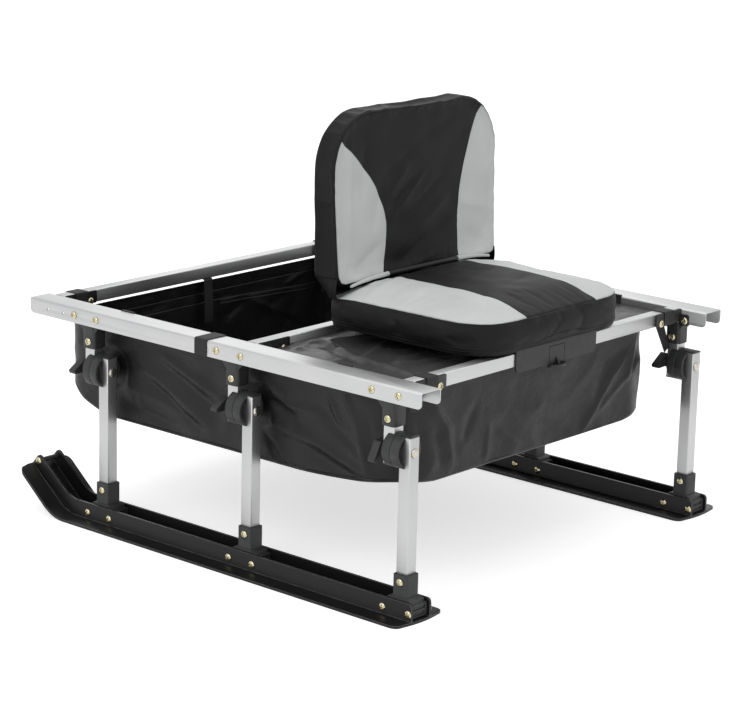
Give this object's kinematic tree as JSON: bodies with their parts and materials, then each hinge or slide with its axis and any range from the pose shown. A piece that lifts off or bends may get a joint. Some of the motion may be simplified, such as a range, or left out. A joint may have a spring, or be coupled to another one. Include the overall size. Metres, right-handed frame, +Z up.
{
  "type": "ice fishing sled",
  "caption": "Ice fishing sled: rails on folding legs with long skis, a fabric cargo tub between the rails, and a padded seat with a folding backrest.",
  "frame": {"origin": "centre of the footprint on the ground, at the bottom of the ski soles", "axes": "+X along the rails towards their rear end, +Y to the sled's right, +Z up; the ski tips point along -X"},
  "size_m": [1, 0.991, 0.836],
  "materials": {
    "aluminium": "satin anodised",
    "moulding": "fine moulded grain, dark grey",
    "lever": "moulded over a zinc-plated bolt",
    "ski": "satin black",
    "spacer": "yellow zinc plated",
    "tub_fabric": "coated woven nylon, black",
    "cover_fabric": "coated woven nylon, dark grey",
    "seat_fabric": "woven polyester, black with light grey side panels"
  },
  "bodies": {
    "frame": {"left_rail": "aluminium", "right_rail": "aluminium", "front_cross_tube": "aluminium", "middle_cross_tube": "aluminium", "rear_cross_tube": "aluminium", "left_front_upper_socket": "moulding", "left_front_upper_leg": "aluminium", "left_front_upper_knuckle": "moulding", "left_middle_upper_socket": "moulding", "left_middle_upper_leg": "aluminium", "left_middle_upper_knuckle": "moulding", "left_rear_upper_socket": "moulding", "left_rear_upper_leg": "aluminium", "left_rear_upper_knuckle": "moulding", "right_front_upper_socket": "moulding", "right_front_upper_leg": "aluminium", "right_front_upper_knuckle": "moulding", "right_middle_upper_socket": "moulding", "right_middle_upper_leg": "aluminium", "right_middle_upper_knuckle": "moulding", "right_rear_upper_socket": "moulding", "right_rear_upper_leg": "aluminium", "right_rear_upper_knuckle": "moulding", "cargo_tub": "tub_fabric", "rear_bay_cover": "cover_fabric", "seat_cushion": "seat_fabric", "seat_hinge_rod": "moulding", "front_seat_clip": "moulding", "rear_seat_clip": "moulding"},
    "left_runner": {"left_ski": "ski", "left_tip_spacer": "spacer", "left_front_ski_socket": "moulding", "left_front_lower_leg": "aluminium", "left_front_lower_knuckle": "moulding", "left_middle_ski_socket": "moulding", "left_middle_lower_leg": "aluminium", "left_middle_lower_knuckle": "moulding", "left_rear_ski_socket": "moulding", "left_rear_lower_leg": "aluminium", "left_rear_lower_knuckle": "moulding"},
    "right_runner": {"right_ski": "ski", "right_tip_spacer": "spacer", "right_front_ski_socket": "moulding", "right_front_lower_leg": "aluminium", "right_front_lower_knuckle": "moulding", "right_middle_ski_socket": "moulding", "right_middle_lower_leg": "aluminium", "right_middle_lower_knuckle": "moulding", "right_rear_ski_socket": "moulding", "right_rear_lower_leg": "aluminium", "right_rear_lower_knuckle": "moulding"},
    "left_front_clamp": {"left_front_clamp_lever": "lever"},
    "left_middle_clamp": {"left_middle_clamp_lever": "lever"},
    "left_rear_clamp": {"left_rear_clamp_lever": "lever"},
    "right_front_clamp": {"right_front_clamp_lever": "lever"},
    "right_middle_clamp": {"right_middle_clamp_lever": "lever"},
    "right_rear_clamp": {"right_rear_clamp_lever": "lever"},
    "backrest": {"backrest": "seat_fabric"},
    "latch": {"seat_latch": "moulding"}
  },
  "joints": [
    {"name": "left_runner_fold", "type": "hinge", "parent": "frame", "child": "left_runner", "pos_m": [0, -0.4305, 0.3035], "axis": [1, 0, 0], "range_deg": [0, 90], "deforming": ["cargo_tub"]},
    {"name": "right_runner_fold", "type": "hinge", "parent": "frame", "child": "right_runner", "pos_m": [0, 0.4305, 0.3035], "axis": [-1, 0, 0], "range_deg": [0, 90], "deforming": ["cargo_tub"]},
    {"name": "left_front_clamp_turn", "type": "hinge", "parent": "frame", "child": "left_front_clamp", "pos_m": [-0.32715, -0.4305, 0.3035], "axis": [1, 0, 0], "range_deg": [0, 80]},
    {"name": "left_middle_clamp_turn", "type": "hinge", "parent": "frame", "child": "left_middle_clamp", "pos_m": [0.05625, -0.4305, 0.3035], "axis": [1, 0, 0], "range_deg": [0, 80]},
    {"name": "left_rear_clamp_turn", "type": "hinge", "parent": "frame", "child": "left_rear_clamp", "pos_m": [0.43565, -0.4305, 0.3035], "axis": [1, 0, 0], "range_deg": [0, 52]},
    {"name": "right_front_clamp_turn", "type": "hinge", "parent": "frame", "child": "right_front_clamp", "pos_m": [-0.32715, 0.4305, 0.3035], "axis": [-1, 0, 0], "range_deg": [0, 80]},
    {"name": "right_middle_clamp_turn", "type": "hinge", "parent": "frame", "child": "right_middle_clamp", "pos_m": [0.05625, 0.4305, 0.3035], "axis": [-1, 0, 0], "range_deg": [0, 80]},
    {"name": "right_rear_clamp_turn", "type": "hinge", "parent": "frame", "child": "right_rear_clamp", "pos_m": [0.43565, 0.4305, 0.3035], "axis": [1, 0, 0], "range_deg": [0, 80]},
    {"name": "backrest_fold", "type": "hinge", "parent": "frame", "child": "backrest", "pos_m": [0.1123, 0, 0.5145], "axis": [0, 1, 0], "range_deg": [0, 90]},
    {"name": "seat_latch_release", "type": "hinge", "parent": "frame", "child": "latch", "pos_m": [0.44175, 0, 0.418], "axis": [0, -1, 0], "range_deg": [0, 12], "stiffness_Nm_per_rad": 0.3}
  ]
}
